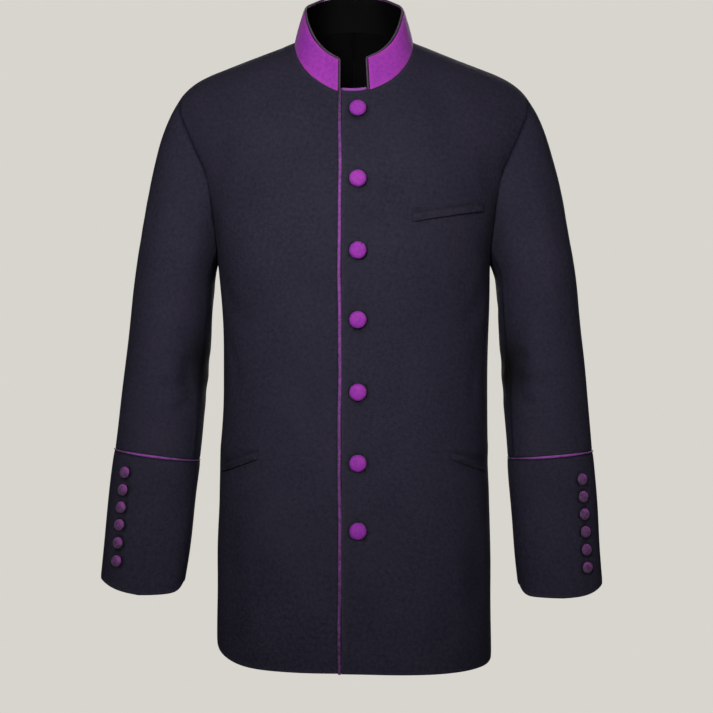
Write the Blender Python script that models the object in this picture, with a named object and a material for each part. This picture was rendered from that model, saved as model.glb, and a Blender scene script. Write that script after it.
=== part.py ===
"""Clergy coat with a purple stand collar, covered buttons, piped edges and deep cuffs.

Sizes are millimetres until a mesh is made. +X is the wearer's left, +Y the back and +Z up.
The origin is the middle of the neck at the height where the shoulder seams meet the collar.
"""

import math

import bpy
import numpy as np

MM = 0.001

# Cloth thickness, and the gaps between two sewn edges and between a laid-on piece and its panel.
CLOTH = 2.0
LINING = 1.2
SEAM = 0.4
SHARP_FOLD = 0.5
LAID = 0.4

# Body: rings below the chest, then a rounded shoulder up to the ridge at level 0.
CHEST = -290.0
ROUNDNESS = 2.4
FRONT_FULLNESS = 1.85
BACK_FULLNESS = 2.3
BODY_COLUMNS = ("level", "half_width", "front_depth", "back_depth")
BODY_ROWS = {
    "hem": (-795, 177.8, 136, 127),
    "hip": (-670, 177.0, 135, 124),
    "pocket": (-540, 173.6, 128, 109),
    "waist": (-440, 170.6, 124, 99),
    "rib": (-350, 172.8, 132, 111),
    "chest": (-290, 176.0, 139, 122),
    "armhole": (-248, 187.0, 139, 129),
    "blade": (-200, 199.0, 138, 132),
    "yoke": (-163, 218.5, 136, 130),
    "shoulder": (-134, 230.0, 133, 127),
    "crest": (-92, 242.0, 130, 120),
    "ridge": (0, 245.4, 128, 112),
}

# The sides lean a little to the wearer's left below the chest, and the closing edge does not.
SWAY_COLUMNS = ("level", "lean")
SWAY_ROWS = {
    "hip": (-640, 0.0),
    "pocket": (-540, 0.2),
    "waist": (-440, 2.2),
    "rib": (-350, 2.8),
    "chest": (-290, 0.0),
}

# Shoulder line and neckline.
NECK_WIDTH = 77.0
NECK_DROP = 76.0
NAPE_RISE = 50.0
NAPE_BACK = 45.0
NAPE_HEIGHT = 27.0
SHOULDER_SLOPE = 0.39
TIP_START = 195.0
TIP_WIDTH = 228.0
TIP_DROP = 12.0

# Armhole: how far round the body it bites, in degrees, and how fast that grows.
BITE = 27.7
BITE_RISE = 0.06

# Fronts: the closing edges, the hems and the overlap.
LEFT_EDGE = -15.5
RIGHT_EDGE = -25.0
FRONT_HEM = -795.0
BACK_HEM = -789.0
HEM_CURL = -690.0
HEM_COLUMNS = ("turn", "left", "right")
HEM_ROWS = {
    "middle": (0, 0, 0),
    "front": (42, -4, 1),
    "corner": (66, -2.5, 11),
    "side": (90, 5, 24),
}
OVERLAP = 21.5
OVERLAP_RAMP = 24.0
OVERLAP_GAP = 1.7

# Steps of each grid.
ARMHOLE_STEPS = 13
SIDE_STEPS = 11
NOTCH_STEPS = 2
COLLAR_STEPS = 8
PANEL_COLUMNS = 10

# Sleeves: rings named from the hem up. Wearer's left and right hang a little differently.
SLEEVE_ROUNDNESS = 2.15
SLEEVE_COLUMNS = (
    "level",
    "across_left",
    "across_right",
    "ahead",
    "half_width",
    "half_depth",
    "tilt_left",
    "tilt_right",
)
SLEEVE_ROWS = {
    "hem": (-708, 261.0, 267.5, 57, 52.4, 41, 0.0, 0.01),
    "wrist": (-610, 255.8, 259.5, 44, 53.8, 47, 0.08, 0.13),
    "cuff": (-533, 251.3, 251.8, 31, 54.2, 54, 0.085, 0.135),
    "elbow": (-465, 247.0, 245.2, 18, 54.3, 60, 0.074, 0.108),
    "upper": (-393, 241.8, 238.6, 8, 53.6, 66, 0.068, 0.085),
    "bicep": (-310, 236.3, 232.6, 2, 51.8, 70, 0.065, 0.065),
}
CAP_RINGS = (0.0, 0.1, 0.23, 0.39, 0.58, 0.79, 1.0)
ARM_RINGS = (-350.0, -390.0, -428.0, -465.0, -500.0, -533.0)
CUFF_RINGS = (-533.0, -537.0, -580.0, -622.0, -662.0)
CUFF_HEM = {"left": -708.0, "right": -704.0}
CUFF_CURL = -640.0
CUFF_CORNER = 14.0
CUFF_STEP = 1.3
FORE_SEAM = 11
HIND_SEAM = -8
HOLLOW_DEPTH = 5.5
HOLLOW_TURN = 138.0
HOLLOW_LEVEL = -432.0

# Collar.
COLLAR_HEIGHT = 44.0
COLLAR_LEAN = 12.0
COLLAR_CROWN = 4.5
COLLAR_END = 20.0
COLLAR_ROWS = 3

# Piping.
EDGE_CORD = 1.75
COLLAR_CORD = 1.7
CUFF_CORD = 1.1
CUFF_CORD_RISE = 0.5
CORD_SIDES = 6

# Buttons: radius and height, and the heights of the front ones.
FRONT_BUTTON = (10.8, 6.0)
CUFF_BUTTON = (7.4, 4.2)
BUTTON_LINE = 5.0
BUTTON_LEVELS = (-99.5, -189.0, -277.5, -362.0, -451.0, -538.0, -620.5)
BUTTON_SIDES = 14
CUFF_BUTTON_TURN = 55.0
CUFF_BUTTON_TOP = {"left": -564.0, "right": -557.0}
CUFF_BUTTON_PITCH = 21.6
CUFF_BUTTONS = 6

# Welts: start and end of the top edge as seen from the front, and the height at each end.
WELT_THICKNESS = 1.3
BREAST_WELT = ((72.0, -231.5), (162.0, -215.5), 10.5, 10.0)
POCKET_WELT = ((119.0, -523.5), (168.5, -546.0), 11.0, 8.0)
WELT_COLUMNS = 8


def curve(places, values):
    """A smooth function through the values that never overshoots them."""
    places = np.array(places, float)
    values = np.array(values, float)
    steps = np.diff(places)
    slopes = np.diff(values) / steps
    tangents = np.concatenate([slopes[:1], (slopes[:-1] + slopes[1:]) / 2, slopes[-1:]])
    for i in range(1, len(values) - 1):
        product = slopes[i - 1] * slopes[i]
        tangents[i] = 2 * product / (slopes[i - 1] + slopes[i]) if product > 0 else 0.0

    def value(at):
        i = int(np.clip(np.searchsorted(places, at) - 1, 0, len(steps) - 1))
        t = float(np.clip((at - places[i]) / steps[i], 0, 1))
        rise = values[i + 1] - values[i]
        ease = t * t * (3 - 2 * t)
        lead = t * (1 - t) ** 2 * tangents[i] * steps[i]
        trail = t * t * (t - 1) * tangents[i + 1] * steps[i]
        return float(values[i] + rise * ease + lead + trail)

    return value


def table_curves(columns, rows):
    """A smooth function of the first column for each other column of a table."""
    table = np.array(list(rows.values()), float)
    return {name: curve(table[:, 0], table[:, i]) for i, name in enumerate(columns) if i}


BODY = table_curves(BODY_COLUMNS, BODY_ROWS)
SWAY = table_curves(SWAY_COLUMNS, SWAY_ROWS)
HEM = table_curves(HEM_COLUMNS, HEM_ROWS)
SLEEVE = table_curves(SLEEVE_COLUMNS, SLEEVE_ROWS)


def unit(vector):
    return vector / np.linalg.norm(vector)


def squircle(turn, roundness):
    """Sideways and forward parts of a point on a rounded square ring."""
    side = math.sin(math.radians(turn))
    ahead = math.cos(math.radians(turn))
    size = (abs(side) ** roundness + abs(ahead) ** roundness) ** (1 / roundness)
    return side / size, ahead / size


def ridge(x, front):
    """Depth and height of the shoulder ridge at a distance from the middle."""
    out = abs(x)
    if out >= NECK_WIDTH:
        tip = max(out - TIP_START, 0) / (TIP_WIDTH - TIP_START)
        return 0.0, -SHOULDER_SLOPE * (out - NECK_WIDTH) - TIP_DROP * tip**2
    t = out / NECK_WIDTH
    lift = -SHOULDER_SLOPE * NECK_WIDTH * (t**3 - t**2)
    if front:
        return 0.0, lift
    return NAPE_BACK * (1 - t * t) ** 1.5, lift + NAPE_RISE * (1 - t**4) ** 1.6


def fullness(front):
    return FRONT_FULLNESS if front else BACK_FULLNESS


def body_point(turn, level):
    """Outer face of the body: turn is 0 at the front, 90 at the wearer's left, 180 at the back."""
    side, ahead = squircle(turn, ROUNDNESS)
    front = ahead >= 0
    x = BODY["half_width"](level) * side
    depth = BODY["front_depth" if front else "back_depth"](level) * ahead
    if level <= CHEST:
        return np.array((x, -depth, level))
    angle = math.pi / 2 * (1 - level / CHEST)
    rise = math.sin(angle) ** (2 / fullness(front))
    reach = max(math.cos(angle), 0.0) ** (2 / fullness(front))
    top_y, top_z = ridge(x, front)
    return np.array((x, top_y * (1 - reach) - depth * reach, CHEST + (top_z - CHEST) * rise))


def body_place(x, z, front=True):
    """Turn and level of the point that shows at x and z from the front or the back."""
    level = z
    if z > CHEST:
        rise = min((z - CHEST) / (ridge(x, front)[1] - CHEST), 1.0)
        level = CHEST * (1 - math.asin(rise ** (fullness(front) / 2)) / (math.pi / 2))
    side = min(abs(x) / BODY["half_width"](level), 1.0)
    ahead = (1 - side**ROUNDNESS) ** (1 / ROUNDNESS)
    turn = math.degrees(math.atan2(math.copysign(side, x), ahead))
    return turn if front else 180 - turn, level


def body_normal(turn, level):
    low = max(level - 1.0, FRONT_HEM)
    high = min(level + 1.0, 0.0)
    round_it = body_point(turn + 0.5, level) - body_point(turn - 0.5, level)
    up_it = body_point(turn, high) - body_point(turn, low)
    return unit(np.cross(round_it, up_it))


def even_places(path, steps):
    """Places at equal distances along a path of body places, given as a function of 0 to 1."""
    shares = np.linspace(0, 1, 241)
    points = np.array([body_point(*path(share)) for share in shares])
    lengths = np.concatenate([[0], np.cumsum(np.linalg.norm(np.diff(points, axis=0), axis=1))])
    stops = np.interp(np.linspace(0, lengths[-1], steps + 1), lengths, shares)
    return [path(stop) for stop in stops]


def armhole(front):
    """Places from the underarm to the shoulder tip."""

    def path(share):
        height = share * share
        bite = BITE * (1 - math.exp(-((height / BITE_RISE) ** 0.6)))
        return (90 - bite if front else 90 + bite), CHEST * (1 - height)

    return even_places(path, ARMHOLE_STEPS)


def front_neckline(start, end, steps):
    """Places along the front neckline between two distances from the middle."""
    first = math.acos(start / NECK_WIDTH)
    last = math.acos(end / NECK_WIDTH)

    def path(share):
        angle = last + (first - last) * (1 - share) ** 1.6
        return body_place(NECK_WIDTH * math.cos(angle), -NECK_DROP * math.sin(angle))

    return even_places(path, steps)


def back_neckline():
    """Places along the back neckline from the middle to the shoulder."""

    def path(share):
        angle = math.pi / 2 * (1 - share)
        height = NAPE_HEIGHT * math.sin(angle) ** 1.7
        return body_place(NECK_WIDTH * abs(math.cos(angle)) ** 0.85, height, front=False)

    return even_places(path, COLLAR_STEPS)


def fan(first, last):
    """Grid of places whose rows run from a list of places to another."""
    shares = np.linspace(0, 1, PANEL_COLUMNS + 1)
    return [[np.array(a) * (1 - s) + np.array(b) * s for s in shares] for a, b in zip(first, last)]


def points_of(places):
    return np.array([[body_point(*place) for place in row] for row in places])


def mirrored(grid):
    """The same grid for the wearer's right, with its columns turned round so that it faces out."""
    return (grid * (-1, 1, 1))[:, ::-1]


def curled(places, side):
    """The same places with the hem rising or dipping round the body."""
    moved = []
    for row in places:
        new_row = []
        for turn, level in row:
            share = max((HEM_CURL - level) / (HEM_CURL - FRONT_HEM), 0)
            rise = HEM[side](90 - abs(turn - 90)) * share**2
            new_row.append((turn, level + rise))
        moved.append(new_row)
    return moved


def swayed(grid):
    """The same grid with its sides leaned over below the chest."""
    leaned = grid.copy()
    for point in leaned.reshape(-1, 3):
        if point[2] < CHEST:
            share = min(abs(point[0]) / BODY["half_width"](point[2]), 1)
            point[0] += SWAY["lean"](point[2]) * share**2
    return leaned


def side_edge(front):
    """Places up the side seam and then the armhole."""
    levels = np.linspace(FRONT_HEM, CHEST, SIDE_STEPS + 1)[:-1]
    return [(90.0, level) for level in levels] + armhole(front)


def front_panel(edge, side):
    """Front of one side, as if it were the wearer's left: centre edge to side seam, hem up."""
    notch = front_neckline(edge, COLLAR_END, NOTCH_STEPS)
    neckline = notch[:-1] + front_neckline(COLLAR_END, NECK_WIDTH, COLLAR_STEPS)
    low_steps = SIDE_STEPS + ARMHOLE_STEPS - NOTCH_STEPS - COLLAR_STEPS
    neck_height = body_point(*notch[0])[2]
    levels = np.linspace(FRONT_HEM, neck_height, low_steps + 1)[:-1]
    centre = [body_place(edge, level) for level in levels] + neckline
    places = curled(fan(centre, side_edge(True)), side)
    grid = points_of(places)
    if side == "left":
        return swayed(grid)
    for row, row_places in zip(grid, places):
        for point, place in zip(row, row_places):
            past = np.clip((point[0] - OVERLAP) / OVERLAP_RAMP, 0, 1)
            dip = (CLOTH + OVERLAP_GAP) * (1 - past * past * (3 - 2 * past))
            point -= dip * body_normal(*place)
    return swayed(mirrored(grid))


def back_panel(side):
    """Back of one side, as if it were the wearer's left: side seam to centre, hem up."""
    neckline = back_neckline()
    low_steps = SIDE_STEPS + ARMHOLE_STEPS - COLLAR_STEPS
    levels = np.linspace(BACK_HEM, NAPE_HEIGHT, low_steps + 1)[:-1]
    centre = [body_place(0, level, front=False) for level in levels] + neckline
    grid = points_of(curled(fan(side_edge(False), centre), side))
    return swayed(grid if side == "left" else mirrored(grid))


def sleeve_ring_point(turn, level, side, out=0.0):
    """Sleeve surface: turn is 0 outside, 90 at the front, 180 inside, as if on the left."""
    ahead, across = squircle(turn, SLEEVE_ROUNDNESS)
    inner = abs((turn - HOLLOW_TURN + 180) % 360 - 180) / 34
    hollow = HOLLOW_DEPTH * math.exp(-(inner**2) - ((level - HOLLOW_LEVEL) / 30) ** 2)
    width = SLEEVE["half_width"](level) + out - hollow
    depth = SLEEVE["half_depth"](level) + out - hollow
    centre = SLEEVE["across_" + side](level)
    curl = max((CUFF_CURL - level) / (CUFF_CURL - CUFF_HEM[side]), 0) ** 2
    height = level + SLEEVE["tilt_" + side](level) * width * across
    height += CUFF_CORNER * curl * across**4
    return np.array((centre + width * across, -SLEEVE["ahead"](level) - depth * ahead, height))


def armhole_point(step):
    """Armhole point a number of steps from the shoulder tip, forward if positive."""
    step = (step + ARMHOLE_STEPS) % (2 * ARMHOLE_STEPS) - ARMHOLE_STEPS
    return body_point(*armhole(step >= 0)[ARMHOLE_STEPS - abs(step)])


def sleeve_column(step, side):
    """Points down one line of a sleeve from the armhole to the cuff seam."""
    turn = 180 * step / ARMHOLE_STEPS
    start = armhole_point(step)
    end = sleeve_ring_point(turn, SLEEVE_ROWS["bicep"][0], side)
    length = np.linalg.norm(end - start)
    out = math.cos(math.radians(turn))
    forward = math.sin(math.radians(turn))
    leave = 0.5 * length * unit(np.array((0.62 + 0.13 * out, -0.3 * forward, -0.8)))
    arrive = 0.9 * length * unit(np.array((0.1, -0.04, -1.0)))
    points = []
    for t in CAP_RINGS:
        ease = t * t * (3 - 2 * t)
        way = start * (1 - ease) + end * ease
        points.append(way + leave * t * (1 - t) ** 2 + arrive * t * t * (t - 1))
    return points + [sleeve_ring_point(turn, level, side) for level in ARM_RINGS]


def sleeve_panel(first, last, side):
    """Rows down the sleeve, columns round it from one seam to the other."""
    grid = np.array([sleeve_column(step, side) for step in range(first, last + 1)])
    grid = grid.transpose(1, 0, 2)
    return grid if side == "left" else mirrored(grid)


def cuff_panel(side):
    """Cuff, seamed at the back like the sleeve."""
    steps = range(HIND_SEAM, HIND_SEAM + 2 * ARMHOLE_STEPS + 1)
    rows = []
    for i, level in enumerate(CUFF_RINGS + (CUFF_HEM[side],)):
        out = CUFF_STEP if i else 0.0
        turns = [180 * step / ARMHOLE_STEPS for step in steps]
        rows.append([sleeve_ring_point(turn, level, side, out) for turn in turns])
    grid = np.array(rows)
    return grid if side == "left" else mirrored(grid)


def collar_grid(fronts, backs):
    """Collar from the wearer's right front end round the back to the left, base up."""
    right_front = fronts["right"][-COLLAR_STEPS - 1 :, -1]
    right_back = backs["right"][-COLLAR_STEPS - 1 :, 0][::-1]
    left_back = backs["left"][-COLLAR_STEPS - 1 :, -1]
    left_front = fronts["left"][-COLLAR_STEPS - 1 :, 0][::-1]
    base = np.concatenate([right_front, right_back[1:], left_back[1:], left_front[1:]])[::-1]
    along = np.gradient(base, axis=0) * (1, 1, 0)
    inward = np.cross(along, (0, 0, 1))
    inward /= -np.linalg.norm(inward, axis=1)[:, None]
    crown = np.zeros(len(base))
    for start in (COLLAR_STEPS, 2 * COLLAR_STEPS):
        for k in range(COLLAR_STEPS + 1):
            crown[start + k] = COLLAR_CROWN * math.sin(math.pi * k / COLLAR_STEPS)
    rows = []
    for share in np.linspace(0, 1, COLLAR_ROWS + 1):
        height = (math.sqrt(COLLAR_HEIGHT**2 - COLLAR_LEAN**2) + crown) * share
        lean = COLLAR_LEAN * share**1.2 * inward
        rows.append(base + lean + height[:, None] * np.array((0, 0, 1)))
    return np.array(rows)


def units(vectors):
    return vectors / np.linalg.norm(vectors, axis=-1)[..., None]


def corner_sums(grid):
    """Sum at each grid point of the normals of the faces round it, weighed by their angles."""
    diagonal_a = grid[1:, 1:] - grid[:-1, :-1]
    diagonal_b = grid[1:, :-1] - grid[:-1, 1:]
    faces = units(np.cross(diagonal_a, diagonal_b))
    low, high = slice(None, -1), slice(1, None)
    corners = ((low, low), (low, high), (high, high), (high, low))
    sums = np.zeros_like(grid)
    for k, corner in enumerate(corners):
        ahead = units(grid[corners[(k + 1) % 4]] - grid[corner])
        behind = units(grid[corners[k - 1]] - grid[corner])
        angles = np.arccos(np.clip((ahead * behind).sum(axis=-1), -1, 1))
        sums[corner] += angles[..., None] * faces
    return sums


def position_key(point):
    return tuple(np.round(point, 2) + 0.0)


def shared_normals(grids):
    """Unit normals of each grid, with those of points that several grids share made one.

    Also a share of the wall's thickness at each point, less where a seam folds sharply.
    """
    own = {name: corner_sums(grid) for name, grid in grids.items()}
    shares = {name: np.ones(grid.shape[:2]) for name, grid in grids.items()}
    shared = {}
    sizes = {}
    for name, grid in grids.items():
        for point, normal in zip(grid.reshape(-1, 3), own[name].reshape(-1, 3)):
            key = position_key(point)
            shared[key] = shared.get(key, 0) + normal
            sizes[key] = sizes.get(key, 0) + np.linalg.norm(normal)
    for name, grid in grids.items():
        for place in np.ndindex(grid.shape[:2]):
            key = position_key(grid[place])
            flatness = np.linalg.norm(shared[key]) / sizes[key]
            own[name][place] = unit(shared[key])
            shares[name][place] = np.clip(1.4 * flatness, SHARP_FOLD, 1)
    return own, shares


def boundary_loop(grid):
    """Row and column of each edge point, in turn round the grid."""
    rows, columns = grid.shape[:2]
    loop = [(0, j) for j in range(columns)]
    loop += [(i, columns - 1) for i in range(1, rows)]
    loop += [(rows - 1, j) for j in range(columns - 2, -1, -1)]
    loop += [(i, 0) for i in range(rows - 2, 0, -1)]
    return loop


def drawn_in(grid, normals, distance):
    """The grid with its edges drawn in by a distance, or let out by a negative one."""
    drawn = grid.copy()
    distance = np.broadcast_to(distance, grid.shape[:2])
    loop = boundary_loop(grid)
    for i, place in enumerate(loop):
        before = unit(grid[place] - grid[loop[i - 1]])
        after = unit(grid[loop[(i + 1) % len(loop)]] - grid[place])
        sides = [unit(np.cross(normals[place], way)) for way in (before, after)]
        mitre = sides[0] + sides[1]
        drawn[place] += distance[place] * mitre / max(1 + sides[0] @ sides[1], 0.6)
    return drawn


def add_solid(name, points, faces, material):
    mesh = bpy.data.meshes.new(name)
    mesh.from_pydata((np.asarray(points) * MM).tolist(), [], faces)
    mesh.update()
    mesh.shade_smooth()
    mesh.set_sharp_from_angle(angle=math.radians(45))
    mesh.materials.append(material)
    obj = bpy.data.objects.new(name, mesh)
    bpy.context.scene.collection.objects.link(obj)
    return obj


def split(quad, points):
    """Two triangles that share the shorter diagonal of four points."""
    a, b, c, d = (points[k] for k in quad)
    first = 0 if np.linalg.norm(a - c) <= np.linalg.norm(b - d) else 1
    p, q, r, s = quad[first:] + quad[:first]
    return (p, q, r), (p, r, s)


def add_wall(name, grid, normals, thickness, material):
    """A cloth wall from its outer grid, with the thickness on the inside."""
    rows, columns = grid.shape[:2]
    inner = grid - thickness * normals
    points = np.concatenate([grid.reshape(-1, 3), inner.reshape(-1, 3)])
    count = rows * columns
    faces = []
    for i in range(rows - 1):
        for j in range(columns - 1):
            a = i * columns + j
            quad = (a, a + 1, a + columns + 1, a + columns)
            for face in split(quad, points):
                faces.append(face)
                faces.append(tuple(count + k for k in reversed(face)))
    loop = [i * columns + j for i, j in boundary_loop(grid)]
    for a, b in zip(loop, loop[1:] + loop[:1]):
        faces.extend(split((b, a, count + a, count + b), points))
    return add_solid(name, points, faces, material)


def add_cord(name, path, radius, material):
    """A round cord along a path of points, with flat ends."""
    path = np.asarray(path)
    ways = np.array([unit(way) for way in np.diff(path, axis=0)])
    tangents = np.concatenate([ways[:1], ways[:-1] + ways[1:], ways[-1:]])
    side = unit(np.cross(tangents[0], (0.31, 0.22, 0.93)))
    rings = []
    for point, tangent in zip(path, tangents):
        tangent = unit(tangent)
        side = unit(side - tangent * (side @ tangent))
        up = np.cross(tangent, side)
        for k in range(CORD_SIDES):
            angle = 2 * math.pi * k / CORD_SIDES
            rings.append(point + radius * (math.cos(angle) * side + math.sin(angle) * up))
    faces = []
    for i in range(len(path) - 1):
        for k in range(CORD_SIDES):
            a = i * CORD_SIDES + k
            b = i * CORD_SIDES + (k + 1) % CORD_SIDES
            faces.append((a, b, b + CORD_SIDES, a + CORD_SIDES))
    faces.append(tuple(reversed(range(CORD_SIDES))))
    faces.append(tuple(range(len(rings) - CORD_SIDES, len(rings))))
    return add_solid(name, rings, faces, material)


def add_button(name, base, normal, size, material):
    """A covered button: a flat back, a rolled rim and a low dome."""
    radius, height = size
    profile = (
        (0.86, 0.0),
        (1.0, 0.26),
        (0.97, 0.52),
        (0.76, 0.8),
        (0.42, 0.95),
    )
    side = unit(np.cross(normal, (0.0, 0.0, 1.0)))
    up = np.cross(side, normal)
    base = base + LAID * normal
    points = []
    for out, high in profile:
        for k in range(BUTTON_SIDES):
            angle = 2 * math.pi * k / BUTTON_SIDES
            flat = math.cos(angle) * side + math.sin(angle) * up
            points.append(base + radius * out * flat + height * high * normal)
    points.append(base + height * normal)
    faces = [tuple(range(BUTTON_SIDES))]
    for i in range(len(profile) - 1):
        for k in range(BUTTON_SIDES):
            a = i * BUTTON_SIDES + k
            b = i * BUTTON_SIDES + (k + 1) % BUTTON_SIDES
            faces.append((b, a, a + BUTTON_SIDES, b + BUTTON_SIDES))
    top = (len(profile) - 1) * BUTTON_SIDES
    for k in range(BUTTON_SIDES):
        faces.append((top + (k + 1) % BUTTON_SIDES, top + k, len(points) - 1))
    return add_solid(name, points, faces, material)


def rounded(path, corner, cut=1.2):
    """The path with the point at a corner replaced by two that cut it."""
    before = path[corner] + cut * unit(path[corner - 1] - path[corner])
    after = path[corner] + cut * unit(path[corner + 1] - path[corner])
    return np.concatenate([path[:corner], [before, after], path[corner + 1 :]])


def make_material(name, color, roughness):
    material = bpy.data.materials.new(name)
    material.use_nodes = True
    shader = material.node_tree.nodes["Principled BSDF"]
    shader.inputs["Base Color"].default_value = (*color, 1.0)
    shader.inputs["Roughness"].default_value = roughness
    return material


def add_welt(name, welt, side, material):
    """A strip of folded cloth laid on a front, from its points moved out."""
    (x0, z0), (x1, z1), first_height, last_height = welt
    rows = []
    for low in (1.0, 0.5, 0.0):
        row = []
        for share in np.linspace(0, 1, WELT_COLUMNS + 1):
            drop = low * (first_height * (1 - share) + last_height * share)
            place = body_place(x0 + (x1 - x0) * share, z0 + (z1 - z0) * share - drop)
            lift = LAID + WELT_THICKNESS
            row.append(body_point(*place) + lift * body_normal(*place))
        rows.append(row)
    grid = np.array(rows)
    if side == "right":
        grid = mirrored(grid)
    add_wall(name, grid, units(corner_sums(grid)), WELT_THICKNESS, material)


def button_on_front(level):
    x = BUTTON_LINE
    return body_point(*body_place(x, level)), body_normal(*body_place(x, level))


def button_on_cuff(level, side):
    turn = CUFF_BUTTON_TURN
    point = sleeve_ring_point(turn, level, side, CUFF_STEP)
    round_it = sleeve_ring_point(turn + 1, level, side, CUFF_STEP) - point
    down_it = sleeve_ring_point(turn, level - 1, side, CUFF_STEP) - point
    normal = unit(np.cross(round_it, down_it))
    flip = (1, 1, 1) if side == "left" else (-1, 1, 1)
    return point * flip, normal * flip


for leftover in list(bpy.data.objects):
    bpy.data.objects.remove(leftover)

suiting = make_material("suiting", (0.021, 0.02, 0.032), 0.85)
purple = make_material("purple_cloth", (0.27, 0.035, 0.34), 0.7)
purple_cord = make_material("purple_cord", (0.16, 0.035, 0.2), 0.7)
dark_cord = make_material("dark_cord", (0.05, 0.03, 0.055), 0.7)
black = make_material("black_lining", (0.004, 0.004, 0.005), 0.6)

fronts = {"left": front_panel(LEFT_EDGE, "left"), "right": front_panel(RIGHT_EDGE, "right")}
backs = {side: back_panel(side) for side in ("left", "right")}
around = HIND_SEAM + 2 * ARMHOLE_STEPS
grids = {}
for side in ("left", "right"):
    grids["front_" + side] = fronts[side]
    grids["back_" + side] = backs[side]
    grids["top_sleeve_" + side] = sleeve_panel(HIND_SEAM, FORE_SEAM, side)
    grids["under_sleeve_" + side] = sleeve_panel(FORE_SEAM, around, side)
    grids["cuff_" + side] = cuff_panel(side)
grids["collar"] = collar_grid(fronts, backs)

normals, shares = shared_normals(grids)
drawn = {
    name: drawn_in(grid, normals[name], SEAM / 2 / shares[name] ** 2)
    for name, grid in grids.items()
}
for name in grids:
    thickness = CLOTH * shares[name][..., None]
    add_wall(name, drawn[name], normals[name], thickness, purple if name == "collar" else suiting)

collar_normals = normals["collar"]
lining_grid = drawn["collar"] - (CLOTH + SEAM) * collar_normals
add_wall("collar_lining", lining_grid, collar_normals, LINING, black)

middle = drawn["collar"] - (CLOTH + SEAM + LINING) / 2 * collar_normals
let_out = drawn_in(middle, collar_normals, -COLLAR_CORD - LAID)
last = let_out.shape[1] - 1
collar_edge = np.concatenate([let_out[:-1, 0], let_out[-1], let_out[-2::-1, last]])
collar_edge[0] = let_out[1, 0] + 0.78 * (let_out[0, 0] - let_out[1, 0])
collar_edge[-1] = let_out[1, last] + 0.78 * (let_out[0, last] - let_out[1, last])
collar_edge = rounded(collar_edge, len(collar_edge) - 1 - COLLAR_ROWS)
collar_edge = rounded(collar_edge, COLLAR_ROWS)
add_cord("collar_piping", collar_edge, COLLAR_CORD, dark_cord)

let_out = drawn_in(drawn["front_left"], normals["front_left"], -EDGE_CORD - LAID)
front_edge = let_out[:-COLLAR_STEPS, 0] + (EDGE_CORD - CLOTH) * normals["front_left"][:-COLLAR_STEPS, 0]
front_edge[-1, 0] = COLLAR_END - 2 * COLLAR_CORD - 3 * LAID
neck_corner = len(front_edge) - 1 - NOTCH_STEPS
add_cord("front_piping", rounded(front_edge, neck_corner), EDGE_CORD, purple_cord)

for side in ("left", "right"):
    flip = 1 if side == "left" else -1
    ring = grids["cuff_" + side]
    ring_normals = units(corner_sums(ring))
    path = ring[0] + (CUFF_CORD + LAID) * ring_normals[2] + (0, 0, CUFF_CORD_RISE)
    path[0] += 0.5 * unit(path[1] - path[0])
    path[-1] += 0.5 * unit(path[-2] - path[-1])
    add_cord("cuff_piping_" + side, path, CUFF_CORD, purple_cord)
    add_welt("pocket_welt_" + side, POCKET_WELT, side, suiting)
    for i in range(CUFF_BUTTONS):
        level = CUFF_BUTTON_TOP[side] - i * CUFF_BUTTON_PITCH
        base, normal = button_on_cuff(level, side)
        add_button("cuff_button_%s_%d" % (side, i + 1), base, normal, CUFF_BUTTON, purple)
add_welt("breast_welt", BREAST_WELT, "left", suiting)
for i, level in enumerate(BUTTON_LEVELS):
    base, normal = button_on_front(level)
    add_button("front_button_%d" % (i + 1), base, normal, FRONT_BUTTON, purple)
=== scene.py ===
"""Looks of a clergy coat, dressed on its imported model.

The coat is black-navy suiting with a purple stand collar, purple piping, covered buttons and deep cuffs.
It is filled out as when worn and hangs from the neck and shoulders. Sizes are metres.
"""

import math

import bpy
import numpy as np
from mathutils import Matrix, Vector
from mathutils.kdtree import KDTree


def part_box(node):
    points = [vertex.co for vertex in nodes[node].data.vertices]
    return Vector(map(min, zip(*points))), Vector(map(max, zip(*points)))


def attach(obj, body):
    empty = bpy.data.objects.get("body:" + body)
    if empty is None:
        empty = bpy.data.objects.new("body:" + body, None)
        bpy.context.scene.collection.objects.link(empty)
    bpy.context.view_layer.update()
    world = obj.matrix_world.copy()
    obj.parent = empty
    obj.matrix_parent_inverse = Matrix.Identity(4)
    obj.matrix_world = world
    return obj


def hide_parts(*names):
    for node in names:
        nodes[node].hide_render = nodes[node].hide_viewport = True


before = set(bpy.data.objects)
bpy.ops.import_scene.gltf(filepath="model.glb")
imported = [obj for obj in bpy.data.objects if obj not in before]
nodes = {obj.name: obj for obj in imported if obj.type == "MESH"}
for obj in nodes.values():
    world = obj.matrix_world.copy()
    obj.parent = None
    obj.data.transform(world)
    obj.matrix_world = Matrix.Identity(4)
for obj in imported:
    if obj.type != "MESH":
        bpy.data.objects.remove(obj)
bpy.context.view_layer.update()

# Camera: level, 2.2 m in front of the coat at about half its height, as in the photograph.
# A slight lens shift keeps the horizon where the photograph has it.
camera_data = bpy.data.cameras.new("camera")
camera_data.lens = 85.45
camera_data.sensor_width = 36.0
camera_data.shift_y = -0.0161
camera = bpy.data.objects.new("camera", camera_data)
camera.location = (0.0033, -2.2, -0.393)
camera.rotation_euler = (math.radians(90), 0, 0)
bpy.context.scene.collection.objects.link(camera)
bpy.context.scene.camera = camera
bpy.context.scene.view_settings.view_transform = "Standard"

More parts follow.
